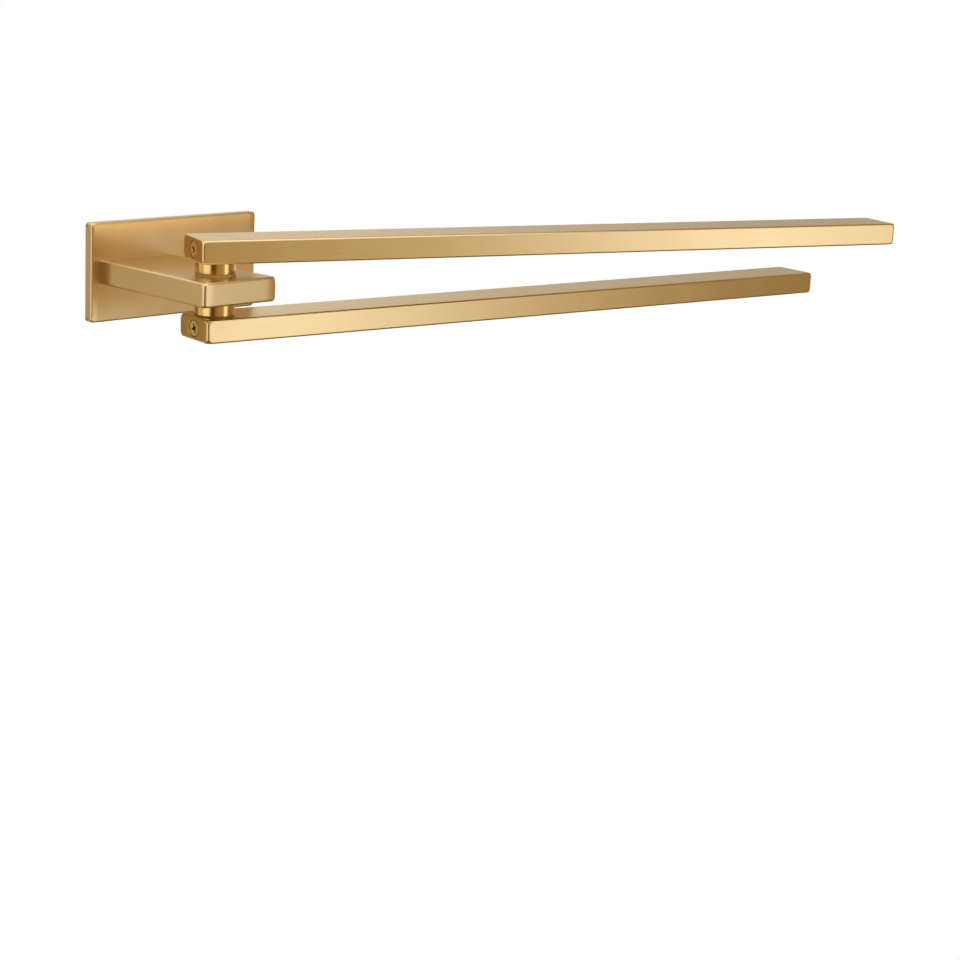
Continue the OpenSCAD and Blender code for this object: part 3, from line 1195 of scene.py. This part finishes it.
@dataclass(frozen=True)
class TentWall:
    """Round wall of the light tent, seen only in reflections.

    Attributes:
        levels: Brightness by azimuth, where 1 is white. The azimuth is in degrees from straight out of the
            wall, and positive towards +X. A colour ramp holds the levels, so there are 32 at most.
        cream: First and last azimuth of the cream part; the rest is warm.
        radius: Distance from the object.
        bottom: Height of its lower edge.
        top: Height of its upper edge.
        segments: Flat pieces that it is made of.
        sampling: How the renderer looks for its light; large pieces are found by chance.
    """

    levels: tuple[tuple[float, float], ...]
    cream: tuple[float, float] = (100, 170)
    radius: float = 2.0
    bottom: float = -1.15
    top: float = 0.9
    segments: int = 96
    sampling: ClassVar[str] = "NONE"

    def material(self) -> Material:
        """Makes the glow that follows the levels round the wall.

        Returns:
            The material.
        """
        brightest = max(level for _, level in self.levels)
        material, tree = new_material("Tent wall")
        point = add_node(tree, "ShaderNodeTexCoord").outputs["Object"]
        across = add_node(tree, "ShaderNodeSeparateXYZ", {0: point}).outputs
        outward = add_node(tree, "ShaderNodeMath", {0: across["Y"], 1: -1.0}, operation="MULTIPLY")
        angle = add_node(tree, "ShaderNodeMath", {0: across["X"], 1: outward}, operation="ARCTAN2")
        turn = {"Value": angle, "From Min": -math.pi, "From Max": math.pi}
        ramp = add_node(tree, "ShaderNodeValToRGB", {"Fac": add_node(tree, "ShaderNodeMapRange", turn)})
        stops = ramp.color_ramp.elements
        while len(stops) < len(self.levels):
            stops.new(0.5)
        for stop, (azimuth, level) in zip(stops, self.levels):
            tone = Tone.CREAM if self.cream[0] < azimuth < self.cream[1] else Tone.WARM
            stop.position = azimuth / 360 + 0.5
            stop.color = [channel / brightest for channel in tone.colour(level)[:3]] + [1.0]
        glow = add_node(tree, "ShaderNodeEmission", {"Color": ramp.outputs["Color"], "Strength": brightest})
        add_node(tree, "ShaderNodeOutputMaterial", {"Surface": glow})
        return material

    def mesh(self) -> BMesh:
        """Makes the wall as a ring of upright faces.

        Returns:
            The mesh.
        """
        ring = bmesh.new()
        low, high = [self.rim(ring, height) for height in (self.bottom, self.top)]
        for step in range(self.segments):
            after = (step + 1) % self.segments
            ring.faces.new((low[step], low[after], high[after], high[step]))
        return ring

    def rim(self, ring: BMesh, height: float) -> list[BMVert]:
        """Adds the vertices of one edge of the wall.

        Args:
            ring: The wall's mesh.
            height: Height of the edge.

        Returns:
            The vertices, in order.
        """
        turns = [2 * math.pi * step / self.segments for step in range(self.segments)]
        places = [(self.radius * math.sin(turn), -self.radius * math.cos(turn), height) for turn in turns]
        return [ring.verts.new(place) for place in places]


@dataclass(frozen=True, kw_only=True)
class Card:
    """Flat card of the light tent, seen only in reflections.

    Attributes:
        name: The card's name.
        level: Its brightness, where 1 is white.
        tone: Its tint.
        sampling: How the renderer looks for its light; large cards are found by chance.
    """

    name: str
    level: float
    tone: Tone = Tone.WARM
    sampling: ClassVar[str] = "NONE"

    def corners(self) -> tuple[tuple[float, float, float], ...]:
        """Corners of the card, in order."""
        raise NotImplementedError

    def material(self) -> Material:
        """Makes an even glow.

        Returns:
            The material.
        """
        material, tree = new_material(f"Tent card, {self.name}")
        glow = add_node(tree, "ShaderNodeEmission", {"Color": self.tone.colour(self.level), "Strength": 1.0})
        add_node(tree, "ShaderNodeOutputMaterial", {"Surface": glow})
        return material

    def mesh(self) -> BMesh:
        """Makes the card as one face.

        Returns:
            The mesh.
        """
        card = bmesh.new()
        card.faces.new([card.verts.new(corner) for corner in self.corners()])
        return card


@dataclass(frozen=True, kw_only=True)
class Lid(Card):
    """Level card, above or below the object.

    Attributes:
        low: Its corner with the lowest x and y.
        high: Its corner with the highest x and y.
        height: Its height.
    """

    low: tuple[float, float]
    high: tuple[float, float]
    height: float

    def corners(self) -> tuple[tuple[float, float, float], ...]:
        """Finds the corners of the card.

        Returns:
            The corners, in order.
        """
        (left, near), (right, far) = self.low, self.high
        around = (left, near), (right, near), (right, far), (left, far)
        return tuple((x, y, self.height) for x, y in around)


@dataclass(frozen=True, kw_only=True)
class UprightCard(Card):
    """Small bright upright card.

    Attributes:
        start: x and y of one end.
        end: x and y of the other end.
        bottom: Height of its lower edge.
        top: Height of its upper edge.
        sampling: How the renderer looks for its light: directly and from both sides of the card, because the
            picture would be grainy if only chance rays found it.
    """

    start: tuple[float, float]
    end: tuple[float, float]
    bottom: float
    top: float
    sampling: ClassVar[str] = "FRONT_BACK"

    def corners(self) -> tuple[tuple[float, float, float], ...]:
        """Finds the corners of the card.

        Returns:
            The corners, in order.
        """
        lower = (*self.start, self.bottom), (*self.end, self.bottom)
        upper = (*self.end, self.top), (*self.start, self.top)
        return lower + upper


@dataclass(frozen=True)
class Lamp:
    """Square area lamp.

    Attributes:
        name: The lamp's name.
        place: Where it hangs.
        size: Length of its side.
        power: Its power in watts.
    """

    name: str
    place: tuple[float, float, float]
    size: float
    power: float


@dataclass(frozen=True)
class Viewpoint:
    """Where the photo was taken from, as fitted to its edges: left of the bar and a little above it.

    Attributes:
        place: Where the camera stands.
        turn: Angle about Z from facing the wall squarely, in degrees; negative is to the right.
        dip: How far it looks down, in degrees.
        roll: How far it is turned about its line of sight, in degrees.
        lens: Focal length in mm.
        sensor: Width of the sensor in mm.
    """

    place: tuple[float, float, float] = (-0.7797, -1.0119, 0.1961)
    turn: float = -45.62
    dip: float = 13.80
    roll: float = 2.69
    lens: float = 86.13
    sensor: float = 36

    def matrix(self) -> Matrix:
        """Works out how the camera stands.

        Returns:
            The camera's matrix.
        """
        turned = Matrix.Rotation(math.radians(self.turn), 4, "Z")
        tilted = Matrix.Rotation(math.radians(90 - self.dip), 4, "X")
        rolled = Matrix.Rotation(math.radians(self.roll), 4, "Z")
        return Matrix.Translation(self.place) @ (turned @ tilted @ rolled)


@dataclass
class Studio:
    """Light tent, floor, lamps and camera.

    Attributes:
        wall: The tent's round wall.
        cards: The tent's cards.
        lamps: The lamps.
        aim: Where the lamps point.
        viewpoint: Where the camera stands.
        world_level: Strength at which the surroundings light the object, where they show as 1.
        floor_height: Height of the floor; the bar hangs about that far above it.
        floor_radius: Radius of the floor.
        floor_segments: Straight pieces of its rim.
        floor_paint: Share of the light that the floor's paint gives back.
        floor_white: Share of plain white that the floor shows near its middle, where the shadow is.
        fade_start: Distance from the middle at which the floor starts to fade to white.
        fade_end: Distance at which it is white.
    """

    wall: TentWall = TentWall(
        levels=(
            (-180, 0.21),
            (-156, 0.33),
            (-145, 0.35),
            (-134, 0.84),
            (-115, 0.68),
            (-106, 0.85),
            (-99, 1.25),
            (-73, 1.25),
            (-66, 0.85),
            (-58, 0.20),
            (-50, 0.12),
            (-40, 0.12),
            (-30, 0.36),
            (-4, 0.48),
            (6, 0.46),
            (10, 0.65),
            (14, 0.63),
            (17.5, 1.08),
            (20, 1.60),
            (27.5, 1.55),
            (30, 1.02),
            (34, 0.74),
            (38, 0.47),
            (42, 0.30),
            (60, 0.34),
            (94, 0.60),
            (108, 0.62),
            (116, 0.50),
            (128, 0.62),
            (138, 0.80),
            (160, 0.56),
            (180, 0.21),
        )
    )
    cards: tuple[Card, ...] = (
        Lid(name="overhead_softbox", low=(-0.6, -1.8), high=(0.72, 0.4), height=1.2, level=1.45),
        Lid(name="overhead_grey", low=(0.73, -1.9), high=(2.6, 1.6), height=1.2, level=0.35),
        Lid(name="grey_below", low=(-1.2, -1.4), high=(1.6, 1.2), height=-0.9, level=0.22),
        UprightCard(
            name="near_softbox",
            start=(0.25, -0.5),
            end=(0.37, -0.5),
            bottom=-0.11,
            top=-0.05,
            level=1.1,
        ),
        UprightCard(
            name="side_softbox",
            start=(1.8, 0.42),
            end=(1.8, 0.8),
            bottom=-0.25,
            top=0.02,
            level=7.2,
            tone=Tone.COOL,
        ),
    )
    lamps: tuple[Lamp, ...] = (
        Lamp("key", (-0.9, -1.4, 1.5), size=1.2, power=22),
        Lamp("fill", (1.4, -1.2, 0.8), size=1.4, power=10),
    )
    aim: tuple[float, float, float] = (0.1, -0.1, 0)
    viewpoint: Viewpoint = Viewpoint()
    world_level: float = 0.6
    floor_height: float = -1.2
    floor_radius: float = 9.0
    floor_segments: int = 96
    floor_paint: float = 0.9
    floor_white: float = 0.6
    fade_start: float = 0.5
    fade_end: float = 1.7

    def build(self) -> None:
        """Sets everything up."""
        self.world()
        self.floor()
        self.tent_piece("tent_wall", self.wall)
        for card in self.cards:
            self.tent_piece(card.name, card)
        for lamp in self.lamps:
            self.hang(lamp)
        self.camera()
        bpy.context.scene.view_settings.view_transform = "Standard"

    def background_share(self, tree: NodeTree) -> Node:
        """Finds the rays that see the background itself: from the camera, or by reflection or glass.

        Args:
            tree: Tree of the world or of a material.

        Returns:
            Node whose first output is 1 for those rays.
        """
        path = add_node(tree, "ShaderNodeLightPath").outputs
        direct = {0: path["Is Camera Ray"], 1: path["Is Glossy Ray"]}
        seen = add_node(tree, "ShaderNodeMath", direct, operation="MAXIMUM")
        through = {0: seen, 1: path["Is Transmission Ray"]}
        return add_node(tree, "ShaderNodeMath", through, operation="MAXIMUM")

    def world(self) -> None:
        """Makes a white world that lights the object less brightly than it shows."""
        world = bpy.data.worlds.new("White surroundings")
        world.use_nodes = True
        tree = world.node_tree
        tree.nodes.clear()
        levels = {"Value": self.background_share(tree), "To Min": self.world_level, "To Max": 1.0}
        strength = add_node(tree, "ShaderNodeMapRange", levels)
        background = add_node(tree, "ShaderNodeBackground", {"Color": (1, 1, 1, 1), "Strength": strength})
        add_node(tree, "ShaderNodeOutputWorld", {"Surface": background})
        bpy.context.scene.world = world

    def floor(self) -> None:
        """Lays a pale round floor that keeps the object's shadow and fades to white further out."""
        material, tree = new_material("Pale painted floor")
        point = add_node(tree, "ShaderNodeTexCoord").outputs["Object"]
        distance = add_node(tree, "ShaderNodeVectorMath", {0: point}, operation="LENGTH").outputs["Value"]
        fade = {
            "Value": distance,
            "From Min": self.fade_start,
            "From Max": self.fade_end,
            "To Min": self.floor_white,
            "To Max": 1.0,
        }
        share = add_node(tree, "ShaderNodeMapRange", fade, interpolation_type="SMOOTHSTEP")
        seen = self.background_share(tree)
        shown = add_node(tree, "ShaderNodeMath", {0: share, 1: seen}, operation="MULTIPLY")
        paint = add_node(tree, "ShaderNodeBsdfDiffuse", {"Color": (*[self.floor_paint] * 3, 1)})
        white = add_node(tree, "ShaderNodeEmission", {"Color": (1, 1, 1, 1), "Strength": 1.0})
        surface = add_node(tree, "ShaderNodeMixShader", {0: shown, 1: paint, 2: white})
        add_node(tree, "ShaderNodeOutputMaterial", {"Surface": surface})
        mesh = bmesh.new()
        bmesh.ops.create_circle(mesh, cap_ends=True, segments=self.floor_segments, radius=self.floor_radius)
        self.stage_object("floor", mesh, material, Matrix.Translation((0, 0, self.floor_height)))

    def tent_piece(self, name: str, piece: TentWall | Card) -> None:
        """Builds one piece of the tent, which only reflections see.

        Args:
            name: The piece's name.
            piece: The wall or a card.
        """
        material = piece.material()
        material.cycles.emission_sampling = piece.sampling
        shown = self.stage_object(name, piece.mesh(), material, Matrix.Identity(4))
        shown.visible_camera = False
        shown.visible_diffuse = False
        shown.visible_transmission = False
        shown.visible_shadow = False

    def stage_object(self, name: str, mesh: BMesh, material: Material, place: Matrix) -> Object:
        """Turns a mesh into an object of the stage, which isn't part of the towel bar.

        Args:
            name: The object's name.
            mesh: Its mesh, which is freed.
            material: Its material.
            place: Where it stands.

        Returns:
            The object.
        """
        data = bpy.data.meshes.new(name)
        mesh.to_mesh(data)
        mesh.free()
        data.materials.append(material)
        shown = bpy.data.objects.new(name, data)
        bpy.context.scene.collection.objects.link(shown)
        shown.matrix_world = place
        LOG.info("stage: %s", name)
        return shown

    def hang(self, lamp: Lamp) -> None:
        """Adds a lamp that only lights: neither the camera nor a reflection shows it.

        Args:
            lamp: The lamp.
        """
        data = bpy.data.lights.new(lamp.name, "AREA")
        data.size = lamp.size
        data.energy = lamp.power
        light = bpy.data.objects.new(lamp.name, data)
        bpy.context.scene.collection.objects.link(light)
        towards = (Vector(self.aim) - Vector(lamp.place)).to_track_quat("-Z", "Y")
        light.matrix_world = Matrix.Translation(lamp.place) @ towards.to_matrix().to_4x4()
        light.visible_camera = False
        light.visible_glossy = False
        LOG.info("stage: lamp %s", lamp.name)

    def camera(self) -> None:
        """Sets up the camera at the photo's angle."""
        data = bpy.data.cameras.new("camera")
        data.sensor_width = self.viewpoint.sensor
        data.lens = self.viewpoint.lens
        camera = bpy.data.objects.new("camera", data)
        bpy.context.scene.collection.objects.link(camera)
        camera.matrix_world = self.viewpoint.matrix()
        bpy.context.scene.camera = camera
        LOG.info("stage: camera")


def main() -> None:
    """Builds the towel bar's looks and its studio."""
    logging.basicConfig(level=logging.INFO, format="%(name)s: %(message)s")
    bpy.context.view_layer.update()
    for assembly in (
        WallSide(),
        SwingArm("upper_swing", prefix="upper", turn=UPPER_ARM_TURN),
        SwingArm("lower_swing", prefix="lower", turn=LOWER_ARM_TURN),
    ):
        assembly.build()
    Studio().build()


if __name__ == "__main__":
    main()
